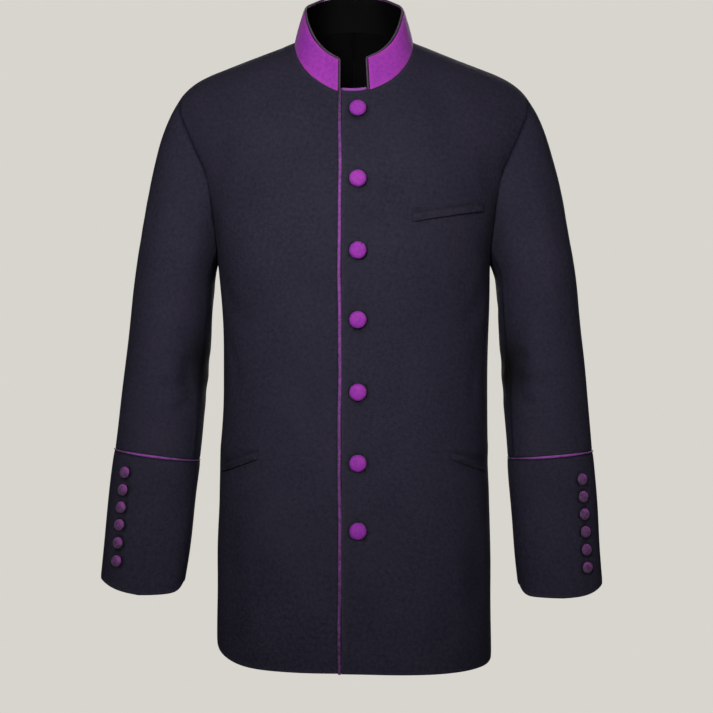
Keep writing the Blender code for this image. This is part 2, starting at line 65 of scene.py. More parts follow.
# Studio: a plain pale floor under a tent of the same pale light, so that no horizon shows.
# The key lamp stands in front at the picture's left, aimed at the chest, and a weaker one fills from the
# right. The lamp behind lights the back.
PALE = (0.687, 0.665, 0.617, 1.0)
TENT_ON_CLOTH = 0.16
FLOOR_ON_CLOTH = 0.1
FLOOR_SIZE = 80
FLOOR_LEVEL = -1.45
LAMPS = (
    # name, place, what it is aimed at, size, spread in degrees, watts
    ("lamp_key", (-0.5, -2.0, 0.3), (0.0, 0.0, -0.25), 0.6, 48, 5.3),
    ("lamp_right", (1.1, -2.0, -0.1), (0.0, 0.0, -0.24), 1.2, 54, 2.5),
    ("lamp_behind", (0.3, 2.2, 0.5), (0.0, 0.0, -0.35), 1.6, 90, 17),
)


def plain_light(tree, color, on_cloth):
    """An even glow to the eye, of which a share falls on the coat."""
    tree.nodes.clear()
    kind = "World" if tree.id_data == bpy.context.scene.world else "Material"
    glow = tree.nodes.new("ShaderNodeBackground" if kind == "World" else "ShaderNodeEmission")
    glow.inputs["Color"].default_value = color
    path = tree.nodes.new("ShaderNodeLightPath")
    share = tree.nodes.new("ShaderNodeMapRange")
    share.inputs["To Min"].default_value = on_cloth
    share.inputs["To Max"].default_value = 1.0
    tree.links.new(path.outputs["Is Camera Ray"], share.inputs["Value"])
    tree.links.new(share.outputs[0], glow.inputs["Strength"])
    output = tree.nodes.new("ShaderNodeOutput" + kind)
    tree.links.new(glow.outputs[0], output.inputs["Surface"])


world = bpy.data.worlds.new("tent")
bpy.context.scene.world = world
world.use_nodes = True
plain_light(world.node_tree, PALE, TENT_ON_CLOTH)
bpy.ops.mesh.primitive_plane_add(size=FLOOR_SIZE, location=(0, 0, FLOOR_LEVEL))
floor = bpy.context.active_object
floor.name = "floor"
floor_paint = bpy.data.materials.new("floor")
floor_paint.use_nodes = True
plain_light(floor_paint.node_tree, PALE, FLOOR_ON_CLOTH)
floor.data.materials.append(floor_paint)

for name, place, aim, size, spread, watts in LAMPS:
    lamp_data = bpy.data.lights.new(name, "AREA")
    lamp_data.energy = watts
    lamp_data.size = size
    lamp_data.spread = math.radians(spread)
    lamp = bpy.data.objects.new(name, lamp_data)
    lamp.location = place
    lamp.rotation_euler = (Vector(aim) - Vector(place)).to_track_quat("-Z", "Y").to_euler()
    lamp.visible_camera = False
    bpy.context.scene.collection.objects.link(lamp)

# Suiting and lining: the suiting is a close, smooth wool twill, near black with a navy cast and a fine
# heathered mottle, and the lining is plain dull black. Warp and weft follow each piece's own UV map, which
# is in metres.


def group_of(name, inputs, outputs):
    """An empty shader node group with named sockets, and its input and output nodes."""
    group = bpy.data.node_groups.new(name, "ShaderNodeTree")
    for label, kind, value in inputs:
        socket = group.interface.new_socket(label, in_out="INPUT", socket_type="NodeSocket" + kind)
        if kind != "Vector":
            socket.default_value = value
    for label, kind in outputs:
        group.interface.new_socket(label, in_out="OUTPUT", socket_type="NodeSocket" + kind)
    return group, group.nodes.new("NodeGroupInput"), group.nodes.new("NodeGroupOutput")


def add_node(tree, kind, links=(), **values):
    """A node with its fields and unlinked sockets set, and links made into it as (source, socket)."""
    node = tree.nodes.new("ShaderNode" + kind)
    for field, value in values.items():
        setattr(node, field, value)
    for source, socket in links:
        if hasattr(source, "is_output"):
            tree.links.new(source, node.inputs[socket])
        else:
            node.inputs[socket].default_value = source
    return node


def twill_group():
    """Fine diagonal threads: a height for bumps and a mask of thread tops."""
    group, into, out = group_of(
        "twill",
        (("Vector", "Vector", None), ("Threads", "Float", 1500.0), ("Slant", "Float", 1.1)),
        (("Height", "Float"), ("Mottle", "Float")),
    )
    turned = add_node(group, "VectorRotate", ((into.outputs["Vector"], "Vector"),
                      (into.outputs["Slant"], "Angle")), rotation_type="Z_AXIS")
    ribs = add_node(group, "TexWave", ((turned.outputs[0], "Vector"), (into.outputs["Threads"], "Scale"),
                    (1.2, "Distortion"), (1.0, "Detail"), (2.0, "Detail Scale")),
                    wave_type="BANDS", bands_direction="X")
    speck = add_node(group, "TexNoise", ((into.outputs["Vector"], "Vector"), (210.0, "Scale"),
                     (3.0, "Detail"), (0.6, "Roughness")))
    slub = add_node(group, "TexNoise", ((into.outputs["Vector"], "Vector"), (820.0, "Scale"),
                    (1.0, "Detail")))
    mixed = add_node(group, "Math", ((speck.outputs["Fac"], 0), (slub.outputs["Fac"], 1)),
                     operation="ADD")
    half = add_node(group, "Math", ((mixed.outputs[0], 0), (0.5, 1)), operation="MULTIPLY")
    lifted = add_node(group, "Math", ((ribs.outputs["Fac"], 0), (0.6, 1), (half.outputs[0], 2)),
                      operation="MULTIPLY_ADD")
    group.links.new(lifted.outputs[0], out.inputs["Height"])
    group.links.new(half.outputs[0], out.inputs["Mottle"])
    return group


def wear_and_shade_group():
    """Rubbed and faded along its edges and in broad faint clouds, with the painted shade and highlights its
    edge mark brings.
    """
    group, into, out = group_of(
        "wear_and_shade",
        (("Vector", "Vector", None), ("Edge", "Float", 0.0), ("Clouds", "Float", 0.5)),
        (("Fade", "Float"),),
    )
    cloud = add_node(group, "TexNoise", ((into.outputs["Vector"], "Vector"), (14.0, "Scale"),
                     (3.0, "Detail"), (0.55, "Roughness")))
    centred = add_node(group, "Math", ((cloud.outputs["Fac"], 0), (0.5, 1)), operation="SUBTRACT")
    cloudy = add_node(group, "Math", ((centred.outputs[0], 0), (into.outputs["Clouds"], 1)),
                      operation="MULTIPLY")
    rough_edge = add_node(group, "TexNoise", ((into.outputs["Vector"], "Vector"), (160.0, "Scale"),
                          (2.0, "Detail")))
    rubbed = add_node(group, "Math", ((into.outputs["Edge"], 0), (rough_edge.outputs["Fac"], 1)),
                      operation="MULTIPLY")
    total = add_node(group, "Math", ((cloudy.outputs[0], 0), (rubbed.outputs[0], 1)), operation="ADD")
    group.links.new(total.outputs[0], out.inputs["Fade"])
    return group


TWILL = twill_group()
WEAR_AND_SHADE = wear_and_shade_group()
# The sockets of a Mix node that mixes two colours.
MIX_FROM = 6
MIX_TO = 7
MIX_RESULT = 2


def cloth_paint(name, dark, light, roughness, sheen, threads, bump, grain="UV", clouds=0.6, slant=1.1,
                gloss=0.15):
    """Woven cloth whose colour runs between two tones with its threads, mottle, rubbing and painted shade.

    The mark "edge" fades it where rubbed and also brings painted seam shade and painted highlights, and
    the mark for painted shade turns it to black where shade falls in folds, along welts and round buttons.
    """
    material = bpy.data.materials.new(name)
    material.use_nodes = True
    tree = material.node_tree
    shader = tree.nodes["Principled BSDF"]
    shader.inputs["Roughness"].default_value = roughness
    shader.inputs["Specular IOR Level"].default_value = gloss
    shader.inputs["Sheen Weight"].default_value = sheen
    shader.inputs["Sheen Roughness"].default_value = 0.5
    if grain == "UV":
        where = add_node(tree, "UVMap", uv_map="grain").outputs["UV"]
    else:
        where = add_node(tree, "TexCoord").outputs["Object"]
    twill = add_node(tree, "Group", ((where, "Vector"), (threads, "Threads"), (slant, "Slant")),
                     node_tree=TWILL)
    edge = add_node(tree, "Attribute", attribute_name="edge")
    wear_and_shade = add_node(tree, "Group", ((where, "Vector"), (edge.outputs["Fac"], "Edge"), (clouds, "Clouds")),
                    node_tree=WEAR_AND_SHADE)
    spread = add_node(tree, "MapRange", ((twill.outputs["Mottle"], "Value"), (0.34, "From Min"),
                      (0.66, "From Max")))
    tone = add_node(tree, "Math", ((spread.outputs[0], 0), (wear_and_shade.outputs["Fade"], 1)), operation="ADD")
    tone.use_clamp = True
    color = add_node(tree, "Mix", ((tone.outputs[0], 0), ((*dark, 1.0), MIX_FROM), ((*light, 1.0), MIX_TO)),
                     data_type="RGBA")
    # Painted shade: the colour is mixed towards black where shade falls in folds, along welts and round
    # buttons.
    hollow = add_node(tree, "Attribute", attribute_name="hollow")
    deep = add_node(tree, "Mix", ((hollow.outputs["Fac"], 0), (color.outputs[MIX_RESULT], MIX_FROM),
                    ((0.0, 0.0, 0.0, 1.0), MIX_TO)), data_type="RGBA")
    tree.links.new(deep.outputs[MIX_RESULT], shader.inputs["Base Color"])
    bumps = add_node(tree, "Bump", ((twill.outputs["Height"], "Height"), (bump, "Strength"),
                     (0.0004, "Distance")))
    tree.links.new(bumps.outputs[0], shader.inputs["Normal"])
    return material


SUITING = cloth_paint("suiting", dark=(0.0046, 0.0047, 0.0112), light=(0.0168, 0.0142, 0.0250),
                      roughness=0.85, sheen=0.0, threads=480, bump=0.35, gloss=0.12)
LINING = cloth_paint("lining", dark=(0.0008, 0.0008, 0.0009), light=(0.0018, 0.0018, 0.0020),
                     roughness=0.7, sheen=0.0, threads=800, bump=0.15, gloss=0.03)

# Fronts, backs, sleeves and cuffs: ten panels of suiting, lined in black, with nothing but air inside.
# Each starts as its CAD wall, is smoothed and creased like cloth that has been worn, and is drawn
# together with its neighbours along the seams.
SIDES = ("left", "right")
BODY = [name + "_" + side for name in ("front", "back") for side in SIDES]
ARMS = {side: [name + "_" + side for name in ("top_sleeve", "under_sleeve", "cuff")] for side in SIDES}
PANELS = BODY + ARMS["left"] + ARMS["right"]
# An edge that turns by more than this many degrees is a cut edge of the cloth.
CUT_ANGLE = 50


def pick_only(piece):
    bpy.ops.object.select_all(action="DESELECT")
    piece.select_set(True)
    bpy.context.view_layer.objects.active = piece


def apply_modifier(piece, kind, **values):
    pick_only(piece)
    modifier = piece.modifiers.new(kind.lower(), kind)
    for field, value in values.items():
        setattr(modifier, field, value)
    bpy.ops.object.modifier_apply(modifier=modifier.name)


def soft_wall(node, levels, sharpness=CUT_ANGLE):
    """A CAD wall as smooth cloth: merged, four-sided again, creased at its edges and subdivided."""
    piece = bpy.data.objects.new(node + "_cloth", nodes[node].data.copy())
    bpy.context.scene.collection.objects.link(piece)
    mesh = piece.data
    mesh.materials.clear()
    while mesh.uv_layers:
        mesh.uv_layers.remove(mesh.uv_layers[0])
    mesh.uv_layers.new(name="grain")
    pick_only(piece)
    bpy.ops.mesh.customdata_custom_splitnormals_clear()
    bpy.ops.object.mode_set(mode="EDIT")
    bpy.ops.mesh.select_mode(type="VERT")
    bpy.ops.mesh.select_all(action="SELECT")
    bpy.ops.mesh.remove_doubles(threshold=2e-5)
    bpy.ops.mesh.tris_convert_to_quads(
        face_threshold=math.radians(60), shape_threshold=math.radians(170), topology_influence=2.0)
    bpy.ops.mesh.select_all(action="DESELECT")
    bpy.ops.mesh.select_mode(type="EDGE")
    bpy.ops.mesh.edges_select_sharp(sharpness=math.radians(sharpness))
    bpy.ops.transform.edge_crease(value=1.0)
    bpy.ops.mesh.mark_seam(clear=False)
    bpy.ops.mesh.select_all(action="SELECT")
    bpy.ops.uv.unwrap(method="CONFORMAL", margin=0.01)
    bpy.ops.object.mode_set(mode="OBJECT")
    apply_modifier(piece, "SUBSURF", levels=levels, render_levels=levels)
    return piece


def values_of(items, field, width=1, kind=float):
    """One field of all the points, edges, corners or faces of a mesh."""
    values = np.empty(len(items) * width, kind)
    items.foreach_get(field, values)
    return values if width == 1 else values.reshape(-1, width)


def points_of(piece):
    return values_of(piece.data.vertices, "co", 3)


def set_points(piece, points):
    piece.data.vertices.foreach_set("co", points.ravel())
    piece.data.update()


def normals_of(piece):
    return values_of(piece.data.vertices, "normal", 3)


def rim_of(piece):
    """Which points lie on the cut edges of a wall."""
    pick_only(piece)
    bpy.ops.object.mode_set(mode="EDIT")
    bpy.ops.mesh.select_all(action="DESELECT")
    bpy.ops.mesh.select_mode(type="EDGE")
    bpy.ops.mesh.edges_select_sharp(sharpness=math.radians(CUT_ANGLE))
    bpy.ops.object.mode_set(mode="OBJECT")
    return values_of(piece.data.vertices, "select", 1, bool)


def ironed(piece, rim, rounds):
    """Evens out what is left of the facets inside a wall, with its cut edges held."""
    points = points_of(piece)
    ends = values_of(piece.data.edges, "vertices", 2, np.int64)
    count = np.bincount(ends.ravel(), minlength=len(points))[:, None]
    for _ in range(rounds):
        total = np.stack([np.bincount(ends[:, 0], points[ends[:, 1], k], len(points))
                          + np.bincount(ends[:, 1], points[ends[:, 0], k], len(points))
                          for k in range(3)], axis=1)
        points = np.where(rim[:, None], points, 0.5 * points + 0.5 * total / count)
    set_points(piece, points)


def tree_of(points):
    tree = KDTree(len(points))
    for i, point in enumerate(points):
        tree.insert(point, i)
    tree.balance()
    return tree


def nearest(cloud, points):
    """How far each point is from the nearest one of a cloud."""
    tree = tree_of(cloud)
    return np.array([tree.find(point)[2] for point in points])


def unit_rows(rows):
    return rows / np.maximum(np.linalg.norm(rows, axis=1), 1e-9)[:, None]


# The body is upright up to the chest and rounds in from there to the neck.
CHEST_LEVEL = -0.29
BODY_HALF_WIDTH = 0.2
BODY_HALF_DEPTH = 0.135


def out_of_body(points):
    """Which way is out, on the fronts and backs."""
    x, y, z = points.T
    high = np.clip(z - CHEST_LEVEL, 0, None)
    ways = np.stack([x / BODY_HALF_WIDTH**2, y / BODY_HALF_DEPTH**2, high / CHEST_LEVEL**2], axis=1)
    return unit_rows(ways)


ARM_AXIS = (
    # level, across on the left and on the right, along
    (-0.708, 0.2610, 0.2675, -0.057),
    (-0.610, 0.2558, 0.2595, -0.044),
    (-0.533, 0.2513, 0.2518, -0.031),
    (-0.465, 0.2470, 0.2452, -0.018),
    (-0.393, 0.2418, 0.2386, -0.008),
    (-0.310, 0.2363, 0.2326, -0.002),
    (-0.150, 0.2050, 0.2050, 0.0),
    (-0.060, 0.1900, 0.1900, 0.0),
)
# Above this level a sleeve rounds in to its cap.
CAP_LEVEL = -0.2


def out_of_arm(points):
    """Which way is out, on a sleeve or cuff."""
    levels, left, right, along = np.array(ARM_AXIS).T
    x, y, z = points.T
    across = np.where(x > 0, np.interp(z, levels, left), -np.interp(z, levels, right))
    high = 0.5 * np.clip(z - CAP_LEVEL, 0, None)
    return unit_rows(np.stack([x - across, y - np.interp(z, levels, along), high], axis=1))


def out_of_panel(name, points):
    return out_of_body(points) if name in BODY else out_of_arm(points)


LOOKS = {
    # the side that a fold is seen from: the axis across the view, and the way to the eye on the left sleeve
    "front": (0, (0, -1, 0)),
    "back": (0, (0, 1, 0)),
    "outside": (1, (1, 0, 0)),
    "inside": (1, (-1, 0, 0)),
}
FOLD_POINTS = 7
# How squarely cloth has to face the eye to be seen.
IN_SIGHT = 0.2


def fold_line(cloud, out, look, start, end, bend):
    """Points on the cloth along a fold, given in millimetres as it is seen from one side."""
    across, way = LOOKS[look]
    way = np.array(way) * (np.sign(cloud[:, 0].mean()) if across else 1)
    seen = cloud[out @ way > IN_SIGHT]
    start, end = np.array(start), np.array(end)
    aside = np.array((start[1] - end[1], end[0] - start[0])) / max(np.linalg.norm(end - start), 1e-6)
    line = []
    for t in np.linspace(0, 1, FOLD_POINTS):
        spot = (start * (1 - t) + end * t + aside * bend * math.sin(math.pi * t)) / 1000
        line.append(seen[np.argmin((seen[:, across] - spot[0]) ** 2 + (seen[:, 2] - spot[1]) ** 2)])
    return np.array(line)


# The low ridges beside a fold: their share of its depth, and their place and breadth in fold widths.
RIDGE_SHARE = 0.32
RIDGE_PLACE = 1.75
RIDGE_BREADTH = 0.75


def fold_depth(points, line, width, depth, seed):
    """How far a soft uneven trough, with low ridges beside it, presses each point in."""
    best = np.full(len(points), 1e9)
    place = np.zeros(len(points))
    for i in range(len(line) - 1):
        way = line[i + 1] - line[i]
        t = np.clip((points - line[i]) @ way / max(way @ way, 1e-12), 0, 1)
        gap = np.linalg.norm(points - line[i] - t[:, None] * way, axis=1)
        closer = gap < best
        best = np.where(closer, gap, best)
        place = np.where(closer, (i + t) / (len(line) - 1), place)
    uneven = 1 + 0.22 * np.sin(9 * place + seed) + 0.1 * np.sin(23 * place + 2 * seed)
    fade = np.sin(math.pi * np.clip(place * 0.9 + 0.05, 0, 1)) ** 0.8
    far = best / (width / 1000)
    ridge = RIDGE_SHARE * np.exp(-(((far - RIDGE_PLACE) / RIDGE_BREADTH) ** 2))
    return depth / 1000 * uneven * fade * (np.exp(-(far**2)) - ridge)


def broad_waves(points):
    """A slow unevenness of the cloth, between -2 and 2."""
    x, y, z = points.T
    return (np.sin(31 * x + 17 * z + 1.0) * np.sin(23 * z - 19 * y)
            + np.sin(57 * z + 13 * x + 8 * y) * np.sin(41 * x - 37 * y + 2.0))


DENT_BREADTH = 0.0035
EASE_LENGTH = 0.02
# One point in so many is enough to place a fold on.
THINNED = 3


def press(names, out_of, folds, held_by, unevenness, dents):
    """Presses folds, a broad unevenness and a dent round each button into sewn pieces.

    All of it eases off towards the seams that hold them. Folds are given in millimetres, and a dent by its
    middle, its radius in metres and its depth in millimetres.
    """
    clouds = {name: points_of(walls[name]) for name in names}
    cloud = np.concatenate([points[::THINNED] for points in clouds.values()])
    cloud_out = out_of(cloud)
    lines = [fold_line(cloud, cloud_out, *fold[:4]) for fold in folds]
    for name, points in clouds.items():
        pressed = np.zeros(len(points))
        for i, (line, (*_, width, depth)) in enumerate(zip(lines, folds)):
            pressed += fold_depth(points, line, width, depth, seed=1.7 * i)
        pressed += unevenness / 1000 * broad_waves(points)
        for centre, radius, depth in dents:
            gap = np.linalg.norm(points - centre, axis=1) - radius
            pressed += depth / 1000 * np.exp(-((gap / DENT_BREADTH) ** 2))
        ease = np.clip(nearest(held_by, points) / EASE_LENGTH, 0, 1)
        pressed *= ease * ease * (3 - 2 * ease)
        set_points(walls[name], points - out_of(points) * pressed[:, None])


# Cut edges of the CAD walls this close are sewn together, and sewing up closes gaps up to the second length.
SEWN_WITHIN = 0.005
SEAM_GAP = 0.0011


def seam_between(first, second):
    """Points of the first pieces' cut edges that are sewn to the second pieces."""
    ours = np.concatenate([edges[name] for name in first])
    theirs = np.concatenate([edges[name] for name in second])
    return ours[nearest(theirs, ours) < SEWN_WITHIN]


def drawn_together(points, others):
    """Points of one cut edge moved halfway to the line of the edges sewn to it, and which ones moved."""
    tree = tree_of(others)
    moved = np.zeros(len(points), bool)
    joined = points.copy()
    for i, point in enumerate(points):
        (_, first, _), (_, second, _) = tree.find_n(point, 2)
        way = others[second] - others[first]
        t = np.clip((point - others[first]) @ way / max(way @ way, 1e-12), 0, 1)
        spot = others[first] + t * way
        if np.linalg.norm(spot - point) < SEAM_GAP:
            joined[i] = (point + spot) / 2
            moved[i] = True
    return joined, moved


def close_tube(points, out, rim, moved, sewn):
    """Closes the upright seam where a cuff's own two ends meet, by pairs that lie level side by side."""
    tree = tree_of(points[rim])
    for i in rim:
        for spot, other, gap in tree.find_range(points[i], SEAM_GAP):
            way = np.array(spot) - points[i]
            if rim[other] != i and abs(way @ out[i]) < 0.25 * gap and abs(way[2]) < 0.5 * gap:
                moved[i] = points[i] + way / 2
                sewn[i] = True


def sew_up(names):
    """Closes the 0.3 mm left between sewn pieces, and says which points of each are in a seam."""
    points = {name: points_of(walls[name]) for name in names}
    out = {name: out_of_panel(name, points[name]) for name in names}
    outer = {name: (normals_of(walls[name]) * out[name]).sum(axis=1) > 0 for name in names}
    sewn = {}
    for name in names:
        moved = points[name].copy()
        sewn[name] = np.zeros(len(moved), bool)
        for side in (True, False):
            mine = rims[name] & (outer[name] == side)
            others = np.concatenate([points[one][rims[one] & (outer[one] == side)]
                                     for one in names if one != name])
            moved[mine], sewn[name][mine] = drawn_together(points[name][mine], others)
            if name.startswith("cuff"):
                close_tube(points[name], out[name], np.flatnonzero(mine), moved, sewn[name])
        set_points(walls[name], moved)
    return sewn


PAINTED_CREASE_SHADE = (
    # across, level, half width, half height, strength: painted shade where the cloth folds in
    (-0.190, -0.420, 0.019, 0.042, 1.0),
    (0.197, -0.424, 0.016, 0.042, 1.0),
    (-0.146, -0.541, 0.026, 0.010, 0.35),
    (0.146, -0.541, 0.026, 0.010, 0.35),
    (-0.178, -0.255, 0.012, 0.045, 0.35),
    (0.178, -0.255, 0.012, 0.045, 0.35),
)
POCKET_MOUTH_SHADE = (
    # start and end as across and level, and strength: soft lines of painted shade where the welts pull at
    # the front
    ((-0.119, -0.524), (-0.163, -0.541), 0.55),
    ((-0.124, -0.535), (-0.162, -0.547), 0.6),
    ((0.123, -0.526), (0.165, -0.535), 0.55),
    ((0.130, -0.537), (0.166, -0.545), 0.6),
    ((0.073, -0.229), (0.161, -0.217), 0.35),
    ((0.077, -0.239), (0.160, -0.227), 0.35),
)
# How far the rubbing of a free edge, the painted shade in a seam and the painted shade along a welt's edge
# reach.
WORN_REACH = 0.006
SEAM_REACH = 0.0045
WELT_REACH = 0.0035
# How strong each of them is.
WORN = 0.6
PAINTED_SEAM_SHADE = 1.3
WELT_EDGE_SHADE = 0.4
# A pocket mouth's line is this broad, and swells by this much along its way.
MOUTH_BREADTH = 0.0022
MOUTH_SWELL = 0.0016
# The shadow that a button throws on its cloth: its strength, its radius on the front and on a cuff, its
# breadth, and how far it lies to the lower right.
BUTTON_DARK = 0.8
FRONT_SHADOW = 0.0112
CUFF_SHADOW = 0.0078
SHADOW_BREADTH = 0.0022
SHADOW_SHIFT = (0.0007, 0.0, -0.0009)


def mark(piece, name, values):
    """Stores a value for each point, for the cloth's material to read."""
    values = values.astype(np.float32)
    piece.data.attributes.new(name, "FLOAT", "POINT").data.foreach_set("value", values)


def wear_and_seam_shade_at(points, rim, sewn):
    """Rubbed pale along the free edges, and painted shade along the seams."""
    worn = np.zeros(len(points))
    dark = np.zeros(len(points))
    if (rim & ~sewn).any():
        worn = np.clip(1 - nearest(points[rim & ~sewn], points) / WORN_REACH, 0, 1)
    if sewn.any():
        dark = np.clip(1 - nearest(points[sewn], points) / SEAM_REACH, 0, 1)
    return WORN * worn - PAINTED_SEAM_SHADE * dark


def painted_shade_at(piece, points, rim, out):
    """Painted shade for each point: at the elbows and pockets, as painted shadow round the buttons, and
    along the welts' edges.
    """
    shade_amount = np.zeros(len(points))
    for across, level, wide, high, strength in PAINTED_CREASE_SHADE:
        away = ((points[:, 0] - across) / wide) ** 2 + ((points[:, 2] - level) / high) ** 2
        shade_amount = np.maximum(shade_amount, strength * np.exp(-away))
    for start, end, strength in POCKET_MOUTH_SHADE:
        way = np.array(end) - start
        seen = points[:, (0, 2)] - start
        t = np.clip(seen @ way / (way @ way), 0, 1)
        breadth = MOUTH_BREADTH + MOUTH_SWELL * np.sin(9 * t + start[0] * 50) ** 2
        away = np.linalg.norm(seen - t[:, None] * way, axis=1) / breadth
        shade_amount = np.maximum(shade_amount, strength * np.exp(-(away**2)) * (0.55 + 0.45 * np.abs(2 * t - 1)))
    shade_amount *= np.clip(0.5 - 3 * out[:, 1], 0, 1)
    if "front" in piece.name or "cuff" in piece.name:
        for name in FRONT_BUTTONS + CUFF_BUTTONS:
            radius = FRONT_SHADOW if "front" in name else CUFF_SHADOW
            spot = middle_of(name) + np.array(SHADOW_SHIFT)
            gap = (np.linalg.norm(points - spot, axis=1) - radius) / SHADOW_BREADTH
            shade_amount = np.maximum(shade_amount, BUTTON_DARK * np.exp(-(gap**2)))
    if "welt" in piece.name:
        near_rim = np.clip(1 - nearest(points[rim], points) / WELT_REACH, 0, 1)
        shade_amount = np.maximum(shade_amount, WELT_EDGE_SHADE * near_rim)
    return shade_amount


def lay_grain(piece, points, facing):
    """Turns each side's UV map so that the warp runs upright, and gives it the cloth's real size."""
    mesh = piece.data
    corner = values_of(mesh.loops, "vertex_index", 1, np.int64)
    uv = values_of(mesh.uv_layers["grain"].uv, "vector", 2)
    starts = values_of(mesh.polygons, "loop_start", 1, np.int64)
    counts = values_of(mesh.polygons, "loop_total", 1, np.int64)
    after = np.arange(len(corner)) + 1
    after[starts + counts - 1] = starts
    for side in (facing > 0, facing <= 0):
        chosen = side[corner]
        both = chosen & chosen[after]
        real = np.linalg.norm(points[corner[after[both]]] - points[corner[both]], axis=1).sum()
        stretch = real / np.linalg.norm(uv[after[both]] - uv[both], axis=1).sum()
        here = uv[chosen] - uv[chosen].mean(axis=0)
        slope = np.linalg.lstsq(here, points[corner[chosen], 2], rcond=None)[0]
        along = slope / np.linalg.norm(slope)
        turned = np.stack([here @ (along[1], -along[0]), here @ along], axis=1)
        uv[chosen] = turned * stretch
    mesh.uv_layers["grain"].uv.foreach_set("vector", uv.ravel())


# Millimetres that cut edges roll: outer ones inwards, at a seam and where free, and inner ones outwards.
SEAM_ROLL = 0.7
FREE_ROLL = 0.35
INNER_ROLL = 0.2


def finish_cloth(piece, rim, sewn, out, outside, inside):
    points = points_of(piece)
    facing = (normals_of(piece) * out).sum(axis=1)
    roll = np.where(facing > 0, np.where(sewn, SEAM_ROLL, FREE_ROLL), -INNER_ROLL)
    roll = np.where(rim, roll, 0.0)
    set_points(piece, points - out * roll[:, None] / 1000)
    mark(piece, "edge", wear_and_seam_shade_at(points, rim, sewn))
    mark(piece, "hollow", painted_shade_at(piece, points, rim, out))
    lay_grain(piece, points, facing)
    mesh = piece.data
    mesh.materials.append(outside)
    mesh.materials.append(inside)
    corner = values_of(mesh.loops, "vertex_index", 1, np.int64)
    starts = values_of(mesh.polygons, "loop_start", 1, np.int64)
    inner = (values_of(mesh.polygons, "normal", 3) * out[corner[starts]]).sum(axis=1) < -0.3
    mesh.polygons.foreach_set("material_index", inner.astype(np.int32))
    pick_only(piece)
    bpy.ops.object.shade_smooth_by_angle(angle=math.radians(CUT_ANGLE))
    node = piece.name.replace("_cloth", "")
    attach(piece, "root")
    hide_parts(node)


walls = {}
rims = {}
for name in PANELS + ["collar", "collar_lining"]:
    walls[name] = soft_wall(name, levels=3)
    rims[name] = rim_of(walls[name])
    ironed(walls[name], rims[name], rounds=12)
edges = {name: points_of(walls[name])[rims[name]] for name in walls}

BODY_FOLDS = (
    # side seen, start and end as (x, z) in millimetres, bend, width, depth
    ("front", (128, -512), (176, -556), 4, 12, 1.6),
    ("front", (-128, -512), (-176, -556), -4, 12, 1.6),
    ("front", (150, -590), (146, -770), 6, 20, 2.2),
    ("front", (-150, -590), (-146, -770), -6, 20, 2.2),
    ("front", (12, -650), (14, -790), 4, 16, 1.2),
    ("front", (112, -690), (116, -790), -4, 15, 1.2),
    ("front", (-80, -680), (-88, -790), 4, 15, 1.0),
    ("front", (-154, -380), (-148, -450), 3, 9, 1.3),
    ("front", (156, -400), (150, -470), -3, 9, 1.0),
    ("front", (168, -300), (128, -385), 6, 13, 1.4),
    ("front", (-168, -300), (-130, -372), -6, 13, 1.4),
    ("front", (92, -60), (128, -118), 6, 18, 1.8),
    ("front", (-92, -60), (-126, -112), -6, 18, 1.8),
    ("front", (160, -130), (168, -215), 5, 14, 1.2),
    ("front", (-160, -130), (-168, -215), -5, 14, 1.2),
    ("back", (60, -430), (150, -448), 5, 13, 2.2),
    ("back", (-55, -438), (-150, -424), -5, 13, 2.2),
    ("back", (24, -458), (118, -480), -5, 12, 1.6),
    ("back", (-30, -470), (-120, -462), 5, 12, 1.4),
    ("back", (168, -285), (110, -380), 8, 15, 2.0),
    ("back", (-168, -280), (-112, -372), -8, 15, 2.0),
    ("back", (70, -560), (84, -785), 8, 22, 2.4),
    ("back", (-74, -570), (-86, -785), -8, 22, 2.4),
    ("back", (138, -600), (144, -780), -5, 18, 1.8),
    ("back", (-138, -600), (-144, -780), 5, 18, 1.8),
    ("back", (60, -40), (30, -130), 6, 16, 1.4),
    ("back", (-60, -40), (-32, -128), -6, 16, 1.4),
)


def middle_of(node):
    low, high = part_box(node)
    return (np.array(low) + np.array(high)) / 2


FRONT_BUTTONS = ["front_button_%d" % (i + 1) for i in range(7)]
CUFF_BUTTONS = ["cuff_button_%s_%d" % (side, i + 1) for side in SIDES for i in range(6)]
# The dent that a button's shank pulls in: its radius in metres and its depth in millimetres.
FRONT_DENT = (0.0125, 0.7)
CUFF_DENT = (0.0088, 0.4)
armholes = seam_between(BODY, ARMS["left"] + ARMS["right"])
neckline = seam_between(BODY, ["collar"])
press(BODY, out_of_body, BODY_FOLDS, held_by=np.concatenate([armholes, neckline]), unevenness=0.35,
      dents=[(middle_of(name), *FRONT_DENT) for name in FRONT_BUTTONS])

ARM_FOLDS = (
    # front, back: (x, z) out from the middle; outside, inside: (y, z)
    ("front", (200, -418), (244, -404), 3, 9, 1.8),
    ("front", (200, -436), (252, -440), -3, 10, 2.0),
    ("front", (204, -456), (240, -474), -3, 9, 1.5),
    ("front", (206, -380), (232, -340), 4, 11, 1.3),
    ("front", (214, -200), (222, -300), 5, 15, 1.6),
    ("front", (252, -150), (262, -260), -5, 16, 1.3),
    ("front", (207, -384), (209, -474), 2, 13, 3.0),
    ("inside", (-30, -425), (30, -410), 4, 10, 0.9),
    ("inside", (-34, -452), (26, -446), -4, 10, 0.8),
    ("inside", (-10, -320), (14, -386), 4, 12, 1.4),
    ("back", (222, -330), (250, -420), 6, 14, 1.8),
    ("back", (226, -470), (262, -505), -5, 11, 1.5),
    ("back", (232, -180), (246, -290), 5, 16, 1.8),
    ("outside", (-20, -190), (-8, -300), 5, 16, 1.2),
    ("outside", (34, -360), (16, -470), -5, 14, 1.2),
    ("front", (234, -600), (238, -690), 3, 14, 0.8),
    ("back", (250, -590), (258, -690), 3, 14, 1.0),
)
